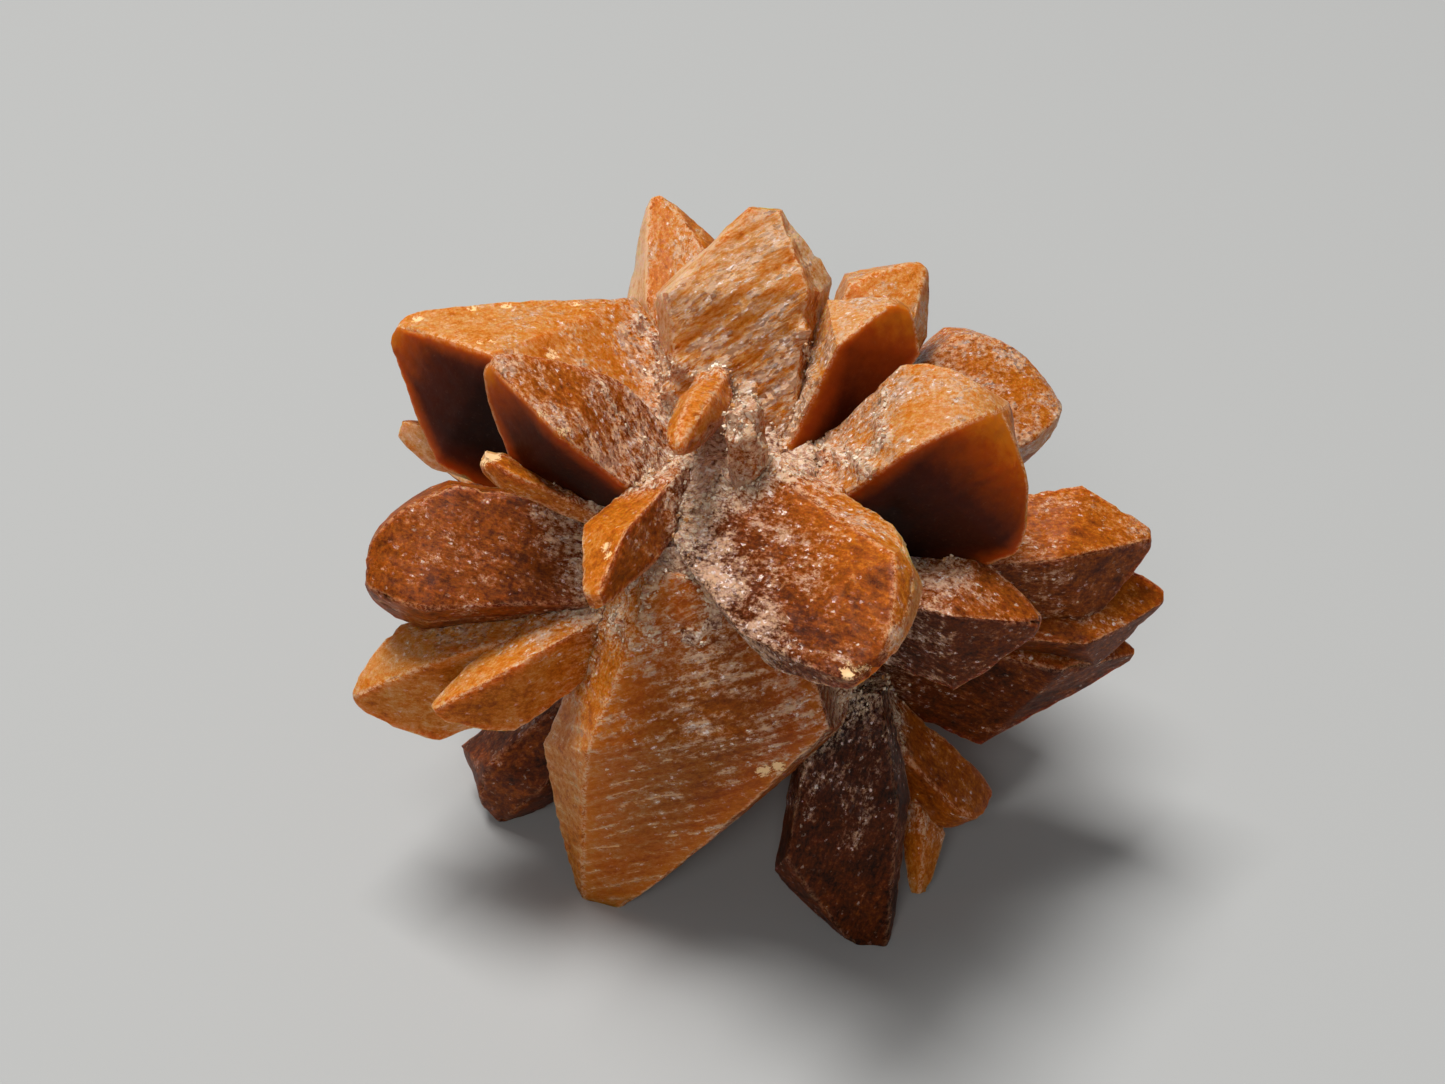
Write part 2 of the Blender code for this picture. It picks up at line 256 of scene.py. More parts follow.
def turn_of(spear):
    """The turn that takes a spear from its drawing to its way in the cluster."""
    along = (Vector(spear.tip) - Vector(spear.root)).normalized()
    look = Vector(spear.face)
    look = (look - look.dot(along) * along).normalized()
    return Matrix((along.cross(look), along, look)).transposed()


def corner_course(spear):
    """The corners of the section, each where it stands out most: (across, along, up)."""
    (left, left_along), (right, right_along) = spear.left, spear.right
    front = [(across, along, spear.height) for across, along in spear.crest]
    back = [(across, along, -spear.height) for across, along in reversed(spear.crest)]
    return [Vector(c) for c in [(left, left_along, 0), *front, (right, right_along, 0), *back]]


def growing(spear, corners, share):
    """The corners part of the way from the root to the shoulder."""
    width = spear.start + (1 - spear.start) * share**ROOT_SPREAD
    return [Vector((c.x * width, c.y * share, c.z * width)) for c in corners]


def tapering(spear, corners, share):
    """The corners part of the way from the shoulder to the tip."""
    length = length_of(spear)
    width = spear.point * (1 - share) + (1 - spear.point) * math.sqrt(1 - share * share)
    width = spear.blunt + (1 - spear.blunt) * width
    return [Vector((c.x * width, c.y + (length - c.y) * share, c.z * width)) for c in corners]


def corner_stations(spear, corners, spacing):
    """The corners at every station from the root to the tip."""
    shoulder = sum(c.y for c in corners) / len(corners)
    hidden = HIDDEN_DEPTH if Vector(spear.root).length < HIDDEN_DEPTH else 0
    hidden = min(hidden, shoulder * 0.5)
    lower = max(2, round((shoulder - hidden) / spacing))
    upper = max(4, round((length_of(spear) - shoulder) * TIP_FINER / spacing))
    first = hidden / shoulder
    shares = [first + (1 - first) * k / lower for k in range(lower + 1)]
    if hidden:
        shares = [0.0, first / 2, *shares]
    rings = [growing(spear, corners, share) for share in shares]
    for k in range(1, upper + 1):
        rings.append(tapering(spear, corners, math.sin(math.pi / 2 * k / upper)))
    return rings


def ring_course(corners, counts):
    """The points round one section: (point, side, distance to a ridge).

    Each corner is a little rounded.
    """
    course = []
    for side, corner in enumerate(corners):
        before = corners[side - 1]
        after = corners[(side + 1) % len(corners)]
        width = (after - corner).length
        inset = min(RIDGE_ROUND, width * 0.25)
        blend = ((before - corner).normalized() + (after - corner).normalized()) * inset * 0.3
        course.append((corner + blend, side, 0.0))
        for k in range(counts[side] + 1):
            share = inset / width + (1 - 2 * inset / width) * k / counts[side]
            near = min(share, 1 - share) * width
            course.append((corner.lerp(after, share), side, near))
    return course


def with_steps(skin, point):
    """The point with its first measure along the growth steps, its second across them."""
    rise = math.radians(skin.rise)
    along = point.x * math.cos(rise) + point.y * math.sin(rise)
    across = point.y * math.cos(rise) - point.x * math.sin(rise)
    return Vector((along, across, point.z))


def growth_at(skin, point, shift):
    """How many growth steps lie below a point, with the wander of their edges."""
    along, across = with_steps(skin, point).xy
    wander = noise.noise(Vector((along * 0.12, across * 0.45, shift))) * 1.1
    wander += noise.noise(Vector((along * 0.5, across * 0.9, shift + 9))) * 0.25
    return across / skin.step + wander


def lift_at(skin, point, near, shift):
    """How far the skin stands over the plain spear: ledges, waves, grain and worn ridges."""
    # A ledge rises over four fifths of each step and falls over the last fifth.
    step = growth_at(skin, point, shift) % 1
    ledge = (step if step < 0.8 else (1 - step) * 4) - 0.5
    fade = 0.5 + noise.noise(Vector((point.x * 0.35, point.y * 0.35, shift + 50)))
    lift = skin.depth * ledge * max(0, fade) * 2
    lift += SKIN_WAVE * noise.noise(point * 0.35 + Vector((shift, 0, 0)))
    lift += SKIN_GRAIN * noise.noise(point * 2.4 + Vector((0, shift, 0)))
    chip = noise.noise(point * 1.1 + Vector((0, 0, shift))) - 0.12
    if near < RIDGE_WEAR and chip > 0:
        lift -= RIDGE_CHIP * chip * (1 - near / RIDGE_WEAR) * 2.2
    return lift


def state_of(skin, side, slope, luck):
    """The state of a side: as listed, or else by how far up it looks and by luck."""
    if side < len(skin.sides):
        return STATES[skin.sides[side]]
    # Sides that look up get the bright frosted states, and those that look down the dark ones, the
    # clear one in painted shade with glowing rims: painted light and shade by how the side faces.
    if slope > 0.3:
        return STATES["sugary" if luck < 0.5 else "satin"]
    if slope > -0.2:
        return STATES["dull" if luck < 0.5 else "sugary"]
    return STATES["glassy_painted_shade" if luck < 0.4 else "dull"]


def add_layers(mesh):
    """The values that the calcite's material reads, by name, for each corner of a face."""
    layers = {}
    for name in ("lattice", "growth", "state", "lines_root_and_glow"):
        layers[name] = mesh.loops.layers.float_vector.new(name)
    layers["owner"] = mesh.loops.layers.float.new("owner")
    return layers


def grow_crystal(spear, number):
    """A spear with its growth steps, worn ridges and grain, in its place round the heart."""
    skin = SKINS.get(spear.name, Skin())
    shift = number * 37.0
    corners = corner_course(spear)
    sides = len(corners)
    widths = [(corners[(k + 1) % sides] - corners[k]).length for k in range(sides)]
    counts = [max(2, round(width / ACROSS_SPACING / skin.fine)) for width in widths]
    rings = corner_stations(spear, corners, SPACING * skin.fine)
    stations = [ring_course(ring, counts) for ring in rings]
    around = len(stations[0])

    # A grid is rolled up round the spear and closed at both ends.
    mesh = bmesh.new()
    bmesh.ops.create_grid(mesh, x_segments=around, y_segments=len(stations) - 1, size=1)
    mesh.verts.ensure_lookup_table()
    facts = mesh.verts.layers.float_vector.new("facts")
    for index, vertex in enumerate(mesh.verts):
        station, place = divmod(index, around + 1)
        point, side, near = stations[station][place % around]
        vertex.co = point
        vertex[facts] = (near, side, 0)
    bmesh.ops.remove_doubles(mesh, verts=mesh.verts, dist=1e-5)
    ends = [edge for edge in mesh.edges if edge.is_boundary]
    caps = bmesh.ops.holes_fill(mesh, edges=ends)["faces"]
    bmesh.ops.poke(mesh, faces=caps)
    bmesh.ops.recalc_face_normals(mesh, faces=mesh.faces)
    mesh.normal_update()

    # What the material reads: where a corner lies in the crystal and how its side is.
    turn = turn_of(spear)
    length = length_of(spear)
    middle = (spear.left[0] + spear.right[0]) / 2
    half = (spear.right[0] - spear.left[0]) / 2
    side_of = {face: max(face.verts, key=lambda v: v[facts].x)[facts].y for face in mesh.faces}
    looks = [Vector() for _ in range(sides)]
    for face, side in side_of.items():
        looks[int(side)] += turn @ face.normal * face.calc_area()
    luck = [noise.noise(Vector((number * 1.7, side * 2.3, 5.5))) + 0.5 for side in range(sides)]
    states = [state_of(skin, side, looks[side].normalized().z, luck[side]) for side in range(sides)]
    layers = add_layers(mesh)
    for face in mesh.faces:
        state = states[int(side_of[face])]
        for corner in face.loops:
            point = corner.vert.co
            corner[layers["lattice"]] = with_steps(skin, point) + Vector((shift, 0, shift))
            count = growth_at(skin, point, shift)
            corner[layers["growth"]] = (count, corner.vert[facts].x, max(0, length - point.y))
            across = (point.x - middle) / half
            tone = state.tone + skin.tone - skin.fade * across
            corner[layers["state"]] = (state.frost + skin.drift * across, tone, state.lit)
            # The third value is the width of the painted glow at the rims.
            corner[layers["lines_root_and_glow"]] = (skin.lines, 1 - point.y / length, skin.glow)
            corner[layers["owner"]] = number

    # The relief of the skin, and then the spear goes to its place.
    lifts = [lift_at(skin, vertex.co, vertex[facts].x, shift) for vertex in mesh.verts]
    normals = [vertex.normal.copy() for vertex in mesh.verts]
    for vertex, normal, lift in zip(mesh.verts, normals, lifts):
        vertex.co += normal * lift
    place = Matrix.Translation(spear.root) @ turn.to_4x4()
    bmesh.ops.transform(mesh, matrix=place, verts=mesh.verts)
    bmesh.ops.triangulate(mesh, faces=mesh.faces)
    bmesh.ops.recalc_face_normals(mesh, faces=mesh.faces)
    mesh.verts.layers.float_vector.remove(facts)
    return mesh


# The heart shows only between the spears: it is frosted, and far from ridge and tip.
HEART_GROWTH = (0, 3, 15)
HEART_FROST = 0.7


def grow_heart():
    """The lumpy middle in which the roots are fused."""
    mesh = bmesh.new()
    bmesh.ops.create_icosphere(mesh, subdivisions=5, radius=HEART_RADIUS)
    layers = add_layers(mesh)
    for vertex in mesh.verts:
        lump = noise.noise(vertex.co * 0.5) * 0.9 + noise.noise(vertex.co * 1.4) * 0.35
        vertex.co += vertex.co.normalized() * lump
    state = STATES["dull"]
    for face in mesh.faces:
        for corner in face.loops:
            corner[layers["lattice"]] = corner.vert.co
            corner[layers["growth"]] = HEART_GROWTH
            corner[layers["state"]] = (HEART_FROST, state.tone, state.lit)
            corner[layers["lines_root_and_glow"]] = (0, 1, 1)
            corner[layers["owner"]] = -1
    return mesh


def as_object(name, mesh):
    """The mesh as an object of the scene."""
    data = bpy.data.meshes.new(name)
    mesh.to_mesh(data)
    mesh.free()
    made = bpy.data.objects.new(name, data)
    bpy.context.scene.collection.objects.link(made)
    return made


def fuse(base, others):
    """The base with the others joined to it in one closed skin, as a new mesh."""
    group = bpy.data.collections.new("to fuse")
    for other in others:
        group.objects.link(other)
    join = base.modifiers.new("fuse", "BOOLEAN")
    join.operation = "UNION"
    join.operand_type = "COLLECTION"
    join.collection = group
    join.solver = "MANIFOLD"
    bpy.context.view_layer.update()
    ready = base.evaluated_get(bpy.context.evaluated_depsgraph_get())
    return bpy.data.meshes.new_from_object(ready)


def box_middle():
    """The middle of the cluster's box over the heart, worked out as for the solids."""
    ends = [[], []]
    for spear in SPEARS:
        corners = corner_course(spear)
        turn = turn_of(spear)
        rings = [growing(spear, corners, s) for s in (0, 0.4, 0.7, 1)]
        rings += [tapering(spear, corners, s) for s in (0.2, 0.42, 0.64, 0.84, 1)]
        for ring in rings:
            for point in ring:
                placed = turn @ point + Vector(spear.root)
                ends[0].append(placed.x)
                ends[1].append(placed.y)
    return Vector(((min(ends[0]) + max(ends[0])) / 2, (min(ends[1]) + max(ends[1])) / 2, 0))


heart_place = Vector((0, 0, HEART_HEIGHT)) - box_middle()
heart = as_object("heart", grow_heart())
spears = [as_object(spear.name, grow_crystal(spear, number)) for number, spear in enumerate(SPEARS)]
fused = fuse(heart, spears)
for helper in [heart, *spears]:
    bpy.data.objects.remove(helper)

cluster_mesh = bmesh.new()
cluster_mesh.from_mesh(fused)
bmesh.ops.translate(cluster_mesh, vec=heart_place, verts=cluster_mesh.verts)

# It stands on the tips of its lowest spears, which are worn flat.
every = cluster_mesh.verts[:] + cluster_mesh.edges[:] + cluster_mesh.faces[:]
bmesh.ops.bisect_plane(
    cluster_mesh, geom=every, plane_co=(0, 0, 0), plane_no=(0, 0, 1), clear_inner=True
)
bmesh.ops.holes_fill(cluster_mesh, edges=[e for e in cluster_mesh.edges if e.is_boundary])
bmesh.ops.triangulate(cluster_mesh, faces=cluster_mesh.faces)
cluster_mesh.normal_update()

# Sugary crust gathers along the clefts where crystals meet, and most of it in the hub
# round the heart: crust is 0 on bare calcite and 1 where it is thick. This is how far
# it reaches from a cleft, and how much further in the hub, where the hub ends and over
# what width it fades, and the shares that are left under overhangs and on clear sides.
SEAM_REACH = 0.5
HUB_SEAM_REACH = 1.6
HUB_END = 13.5
HUB_FADE = 4.5
OVERHANG_SHARE = 0.3
CLEAR_SHARE = 0.3
owner = cluster_mesh.loops.layers.float["owner"]
seams = [v for v in cluster_mesh.verts if len({round(c[owner]) for c in v.link_loops}) > 1]
seam_tree = KDTree(len(seams))
for index, vertex in enumerate(seams):
    seam_tree.insert(vertex.co, index)
seam_tree.balance()
crust_layer = cluster_mesh.verts.layers.float.new("crust")

# It also follows a few worn edges and healed cracks: how far it reaches to either
# side, and the course, measured from the heart.
CRUST_COURSES = (
    (1.1, ((-1.1, -3.3, 12.1), (0.3, -3.6, 11), (0.8, -3.6, 9.7), (2.3, -4, 9.1),
           (3.7, -4.9, 9.2))),
    (0.8, ((3.7, -4.9, 9.2), (5.2, -4.9, 8.5), (6.6, -5, 7.8))),
    (1.3, ((-0.4, -2.8, 12.4), (-0.2, -2.8, 9))),
    (0.7, ((2.6, 2.8, 13), (3, 3, 11.5), (3, 1.2, 11), (2.4, 0.8, 9.8), (1.6, -0.4, 8))),
    (0.7, ((6.4, -0.8, 11.8), (6.2, -1.8, 11.3), (6.3, -4, 11.4), (5.1, -3.3, 9.6))),
    (0.9, ((4.3, -1.3, 8.8), (5.1, -3.3, 9.6), (5.8, -5, 10))),
    (0.9, ((-5.7, 7.9, 10.2), (-4.9, 7.1, 9.4), (-4.3, 5.4, 9.5), (-3.2, 3.5, 10.2),
           (-0.3, 2.6, 9.6))),
    (1.0, ((-4.9, 5.7, 8.7), (-4.3, 4, 8.4), (-3.6, 2, 9))),
    (0.35, ((-8.5, 4.7, 9.9), (-7.4, 0.7, 11.4), (-6.7, 0.1, 10.3), (-5.2, -0.5, 8.4))),
    (0.8, ((-4.6, -5.6, 5), (-5.2, -6.2, 3), (-4.6, -7, 1.5))),
)
courses = []
for reach, course in CRUST_COURSES:
    places = [heart_place + Vector(point) for point in course]
    courses += [(reach, start, end) for start, end in zip(places, places[1:])]


def course_crust(place):
    """How thick the crust of the listed courses is at a place."""
    amount = 0.0
    for reach, start, end in courses:
        if (place - start).length > reach + (end - start).length:
            continue
        share = intersect_point_line(place, start, end)[1]
        nearest = start.lerp(end, max(0.0, min(1.0, share)))
        amount = max(amount, 1.3 - 1.3 * (place - nearest).length / reach)
    return amount


# Small fresh chips knocked out of the ridges, and a few corners that are worn
# round: the middle, measured from the heart, and how far it reaches.
CHIPS = (
    ((-14.3, 8.4, 11), 0.35), ((-12.6, 8.5, 11), 0.4), ((-9, 8.5, 11.1), 0.35),
    ((-17.1, 7.8, 10.7), 0.4), ((-13.6, 4.7, 11.4), 0.3), ((-13, 4.8, 11.4), 0.3),
    ((-10, 4.7, 10.6), 0.4), ((-9, -3, 11.2), 0.4), ((-10, -2.4, 11.9), 0.3),
    ((-12.9, -1.7, 9.2), 0.9), ((0.6, -9.8, -4.8), 0.5), ((1.3, -9.8, -4.3), 0.5),
    ((4.1, -16.1, 7.4), 0.45), ((4.9, -16.1, 7.4), 0.45), ((-6.9, -8.2, 8.4), 0.35),
    ((-6.8, -8.9, 8.4), 0.35),
)
CHIP_DEPTH = 0.15

# The worn corners lose this share of their reach.
WORN_CORNERS = (((7.2, -9.8, 10.2), 2.6), ((6.6, -5.4, 7.9), 1.6))
WORN_DEPTH = 0.35
chip_places = [(heart_place + Vector(point), reach) for point, reach in CHIPS]
worn_places = [(heart_place + Vector(point), reach) for point, reach in WORN_CORNERS]
chip_layer = cluster_mesh.verts.layers.float.new("chip")
heart_middle = Vector((heart_place.x, heart_place.y, HEART_HEIGHT))
state_layer = cluster_mesh.loops.layers.float_vector["state"]
crusts = []
for vertex in cluster_mesh.verts:
    place = vertex.co
    lit = min(corner[state_layer].z for corner in vertex.link_loops)
    gap = seam_tree.find(place)[2]
    hub = max(0.0, min(1.0, (HUB_END - (place - heart_middle).length) / HUB_FADE))
    patch = noise.noise(place * 0.5)
    near = max(0.0, 1 - gap / (SEAM_REACH + HUB_SEAM_REACH * hub))
    upwards = max(OVERHANG_SHARE, min(1.0, 1.5 * vertex.normal.z))
    amount = max(near * (0.35 + 0.9 * hub) * upwards, course_crust(place)) * (1 + patch)
    amount = max(0.0, min(1.0, amount)) * (CLEAR_SHARE + (1 - CLEAR_SHARE) * lit)
    vertex[crust_layer] = amount
    inside = max(reach - (place - middle).length for middle, reach in chip_places)
    vertex[chip_layer] = max(-1.0, inside)
    lump = 0.4 + 1.1 * noise.noise(place * 1.1) + 0.5 * noise.noise(place * 2.6)
    lift = amount * lump * 0.5 - CHIP_DEPTH * max(0.0, min(1.0, inside * 4))
    for middle, reach in worn_places:
        share = max(0.0, 1 - (place - middle).length / reach)
        lift -= WORN_DEPTH * reach * share * share
    crusts.append((vertex, vertex.normal.copy(), amount, lift))
for vertex, normal, amount, lift in crusts:
    vertex.co += normal * lift

# Where the crust is thick, grains of calcite stand on it, which are made below: how
# large they are, how far they are shifted, and from what thickness they are there.
random.seed(11)
GRAIN_SIZE = (0.06, 0.17)
GRAIN_SHIFT = 0.15
GRAINS_FROM = 0.4
grain_places = []
for vertex, normal, amount, lift in crusts:
    if amount > GRAINS_FROM and random.random() < amount * 0.5:
        jitter = Vector([random.uniform(-GRAIN_SHIFT, GRAIN_SHIFT) for _ in range(3)])
        size = random.uniform(*GRAIN_SIZE) * (0.7 + 0.5 * amount)
        grain_places.append((vertex.co + jitter + normal * size * 0.1, size))

bmesh.ops.scale(cluster_mesh, vec=(MM, MM, MM), verts=cluster_mesh.verts)
for face in cluster_mesh.faces:
    face.smooth = True
cluster = as_object("calcite_spears", cluster_mesh)
SHARP_ANGLE = math.radians(40)
cluster.data.set_sharp_from_angle(angle=SHARP_ANGLE)
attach(cluster, "root")
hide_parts("glendonite")


def srgb(text):
    """The linear colour of an sRGB hex value."""
    parts = [int(text[k : k + 2], 16) / 255 for k in (1, 3, 5)]
    return (*[c / 12.92 if c <= 0.04045 else ((c + 0.055) / 1.055) ** 2.4 for c in parts], 1)


def add(tree, kind, *inputs, at=None, give=0, **settings):
    """Adds a node with its settings, feeds its inputs, and gives one of its outputs.

    The inputs are fed in order, or with at by name or number.
    """
    made = tree.nodes.new("ShaderNode" + kind)
    for name, value in settings.items():
        setattr(made, name, value)
    for entry, source in [*enumerate(inputs), *(at or {}).items()]:
        if isinstance(source, bpy.types.NodeSocket):
            tree.links.new(source, made.inputs[entry])
        else:
            made.inputs[entry].default_value = source
    return made.outputs[give]


# Waxy brown calcite, stained by iron. On its clean faces light and shade are painted
# in: thin rims painted glowing amber, as where light shines through, and the middle
# painted nearly black. Where fine calcite has grown on the faces they are opaque,
# orange to tan, and frosted with pale grains, whose brightest specks are painted glints.
calcite = bpy.data.materials.new("waxy brown calcite")
calcite.use_nodes = True
tree = calcite.node_tree
shader = tree.nodes["Principled BSDF"]
SMOOTH = {"interpolation_type": "SMOOTHSTEP"}
COLOUR = {"data_type": "RGBA", "give": 2}

lattice = add(tree, "Attribute", attribute_name="lattice", give="Vector")
growth = add(tree, "Attribute", attribute_name="growth", give="Vector")
growth_count = add(tree, "SeparateXYZ", growth, give=0)
ridge_distance = add(tree, "SeparateXYZ", growth, give=1)
tip_distance = add(tree, "SeparateXYZ", growth, give=2)
state = add(tree, "Attribute", attribute_name="state", give="Vector")
frost = add(tree, "SeparateXYZ", state, give=0)
tone = add(tree, "SeparateXYZ", state, give=1)
lit = add(tree, "SeparateXYZ", state, give=2)
lines_root_and_glow = add(tree, "Attribute", attribute_name="lines_root_and_glow", give="Vector")
lines = add(tree, "SeparateXYZ", lines_root_and_glow, give=0)
rootward = add(tree, "SeparateXYZ", lines_root_and_glow, give=1)
glow_width = add(tree, "SeparateXYZ", lines_root_and_glow, give=2)
crust = add(tree, "Attribute", attribute_name="crust", give="Fac")

# The lattice is in millimetres, so these say how many clouds, mottles, streaks and
# so on there are to a millimetre. The streaks are drawn out along the growth steps.
CLOUDS = 0.45
MOTTLES = 1.6
STREAKS = 2.2
STREAK_STRETCH = 0.18
GRIT = 7.0
stretched = add(tree, "Mapping", at={"Vector": lattice, "Scale": (STREAK_STRETCH, 1, 1)})
patches = add(tree, "TexNoise", at={"Vector": lattice, "Scale": CLOUDS, "Detail": 3.0})
mottling = add(
    tree, "TexNoise", at={"Vector": lattice, "Scale": MOTTLES, "Detail": 4.0, "Roughness": 0.65}
)
streaks = add(
    tree, "TexNoise", at={"Vector": stretched, "Scale": STREAKS, "Detail": 4.0, "Roughness": 0.75}
)
grit = add(
    tree, "TexNoise", at={"Vector": lattice, "Scale": GRIT, "Detail": 2.0, "Roughness": 0.7}
)

# Sugary grains of 0.05 to 0.25 mm. Their facets are finer still, too fine to show,
# and are drawn a seventh of a millimetre wide. Both are a little longer along the
# growth steps where those are clear.
GRAINS = 4.5
FACETS = 7.0
stretch = add(tree, "MapRange", lines, 0.25, 0.8, 0.7, 0.42)
stretch = add(tree, "CombineXYZ", stretch, 1.0, 1.0)
drawn_out = add(tree, "Mapping", at={"Vector": lattice, "Scale": stretch})
sparkle = add(
    tree, "TexNoise", at={"Vector": drawn_out, "Scale": GRAINS, "Detail": 3.0, "Roughness": 0.85}
)
facets = add(tree, "TexVoronoi", at={"Vector": drawn_out, "Scale": FACETS}, give="Color")

# Bands of clear amber along the growth steps.
place_in_step = add(tree, "Math", streaks, 0.25, growth_count, operation="MULTIPLY_ADD")
place_in_step = add(tree, "Math", place_in_step, operation="FRACT")
band = add(tree, "Math", place_in_step, 0.5, operation="SUBTRACT")
band = add(tree, "Math", band, operation="ABSOLUTE")
band = add(tree, "MapRange", band, 0.1, 0.34, 1.0, 0.0, **SMOOTH)
uneven = add(tree, "MapRange", mottling, 0.4, 0.6, 0.3, 1.2)
band = add(tree, "Math", band, uneven, operation="MULTIPLY")
band = add(tree, "Math", band, lines, operation="MULTIPLY")

# How much frost lies here: in streaks and patches, and more towards the root.
banded = add(tree, "MapRange", lines, 0.0, 1.0, 0.5, 1.9)
streak_part = add(tree, "Math", streaks, 0.5, operation="SUBTRACT")
streak_part = add(tree, "Math", streak_part, banded, operation="MULTIPLY")
cover = add(tree, "Math", streak_part, 1.2, frost, operation="MULTIPLY_ADD")
patch_part = add(tree, "Math", patches, mottling, operation="ADD")
cover = add(tree, "Math", patch_part, 2.0, cover, operation="MULTIPLY_ADD")
near_root = add(tree, "MapRange", rootward, 0.1, 0.8, -2.35, -1.7)
cover = add(tree, "Math", cover, near_root, operation="ADD")
cover = add(tree, "Math", band, -0.7, cover, operation="MULTIPLY_ADD")
cover = add(tree, "Math", cover, crust, operation="MAXIMUM")
frosted = add(tree, "MapRange", lit, 0.0, 0.5)
cover = add(tree, "Math", cover, frosted, operation="MULTIPLY")
cover = add(tree, "Clamp", cover)

# Clear calcite, drawn with painted shade and a painted glow: nearly black in the
# middle and glowing at its thin rims, as though light shone through. The tip is thin
# too and glows for about three times as far as a ridge.
DEEP = srgb("#1e0700")
RED_BROWN = srgb("#4c1602")
EMBER = srgb("#a84404")
HONEY = srgb("#dc9018")
tip_part = add(tree, "Math", tip_distance, 0.35, operation="MULTIPLY")
rim = add(tree, "Math", ridge_distance, tip_part, operation="MINIMUM")
rim = add(tree, "Math", rim, glow_width, operation="DIVIDE")
rim = add(tree, "Math", mottling, 0.5, rim, operation="MULTIPLY_ADD")
red_brown = add(tree, "MapRange", rim, 0.8, 2.8, 1.0, 0.0, **SMOOTH)
painted_ember_glow = add(tree, "MapRange", rim, 0.3, 1.4, 1.0, 0.0, **SMOOTH)
painted_honey_glow = add(tree, "MapRange", rim, 0.25, 0.6, 0.3, 0.0, **SMOOTH)
painted_shade_and_glow = add(tree, "Mix", at={0: red_brown, 6: DEEP, 7: RED_BROWN}, **COLOUR)
painted_shade_and_glow = add(tree, "Mix", at={0: painted_ember_glow, 6: painted_shade_and_glow, 7: EMBER}, **COLOUR)
painted_shade_and_glow = add(tree, "Mix", at={0: painted_honey_glow, 6: painted_shade_and_glow, 7: HONEY}, **COLOUR)

# Skin that scatters the light: from deep brown through orange to tan, in clouds
# and in bands along the growth steps.
value = add(tree, "Math", patches, 0.5, tone, operation="MULTIPLY_ADD")
value = add(tree, "Math", streak_part, 0.6, value, operation="MULTIPLY_ADD")
value = add(tree, "Math", mottling, 0.5, value, operation="MULTIPLY_ADD")
value = add(tree, "Math", sparkle, 0.8, value, operation="MULTIPLY_ADD")
value = add(tree, "Math", band, -0.2, value, operation="MULTIPLY_ADD")
under_frost = add(tree, "MapRange", cover, 0.0, 0.7, 0.9, 1.0)
value = add(tree, "Math", value, under_frost, operation="SUBTRACT")
TONES = (
    (0.0, "#240b02"),
    (0.25, "#602706"),
    (0.5, "#a04f0a"),
    (0.65, "#c46c10"),
    (0.8, "#cc8a48"),
    (1.0, "#deb088"),
)
ramp = tree.nodes.new("ShaderNodeValToRGB")
for place, text in TONES[1:-1]:
    ramp.color_ramp.elements.new(place)
for element, (place, text) in zip(ramp.color_ramp.elements, TONES):
    element.position = place
    element.color = srgb(text)
tree.links.new(value, ramp.inputs[0])
# Sides whose lit is 0 take the painted shade and the painted glow.
colour = add(tree, "Mix", at={0: lit, 6: painted_shade_and_glow, 7: ramp.outputs[0]}, **COLOUR)

# A pale thread where each growth step ends, broken along its way.
THREAD = srgb("#e8b47c")
thread = add(tree, "MapRange", place_in_step, 0.84, 0.98, **SMOOTH)
broken = add(tree, "MapRange", patch_part, 0.98, 1.14, 0.0, 1.0, **SMOOTH)
thread = add(tree, "Math", thread, broken, operation="MULTIPLY")
drawn = add(tree, "MapRange", lines, 0.25, 0.55)
drawn = add(tree, "Math", drawn, frosted, operation="MULTIPLY")
thread = add(tree, "Math", thread, drawn, operation="MULTIPLY")
colour = add(tree, "Mix", at={0: thread, 6: colour, 7: THREAD}, **COLOUR)

# Grains: paler the thicker the frost is, with painted glints here and there: white
# specks that stand for light caught by small facets. The thick crust is chalky.
SUGAR = srgb("#dcb08a")
LILAC = srgb("#c49e8a")
PAINTED_GLINT = srgb("#ffece0")
CHALK = srgb("#e8d4b8")
grains = add(tree, "Math", cover, 0.35, sparkle, operation="MULTIPLY_ADD")
grains = add(tree, "MapRange", grains, 0.56, 0.9, **SMOOTH)
facet_pick = add(tree, "SeparateColor", facets, give=0)
grain_colour = add(tree, "Mix", at={0: facet_pick, 6: SUGAR, 7: LILAC}, **COLOUR)
strength = add(tree, "MapRange", cover, 0.0, 0.6, 0.1, 0.9)
strength = add(tree, "Math", grains, strength, operation="MULTIPLY")
painted_glint = add(tree, "Math", cover, 0.2, facet_pick, operation="MULTIPLY_ADD")
painted_glint = add(tree, "MapRange", painted_glint, 0.95, 1.03, 0.0, 0.9)
on_grain = add(tree, "MapRange", sparkle, 0.45, 0.6)
painted_glint = add(tree, "Math", painted_glint, on_grain, operation="MULTIPLY")
painted_glint = add(tree, "Math", painted_glint, frosted, operation="MULTIPLY")
strength = add(tree, "Math", strength, painted_glint, operation="MAXIMUM")
grain_colour = add(tree, "Mix", at={0: painted_glint, 6: grain_colour, 7: PAINTED_GLINT}, **COLOUR)
colour = add(tree, "Mix", at={0: strength, 6: colour, 7: grain_colour}, **COLOUR)
chalky = add(tree, "MapRange", sparkle, 0.46, 0.6, 0.0, 0.7, **SMOOTH)
thick = add(tree, "Math", crust, frosted, operation="MULTIPLY")
chalky = add(tree, "Math", chalky, thick, operation="MULTIPLY")
colour = add(tree, "Mix", at={0: chalky, 6: colour, 7: CHALK}, **COLOUR)

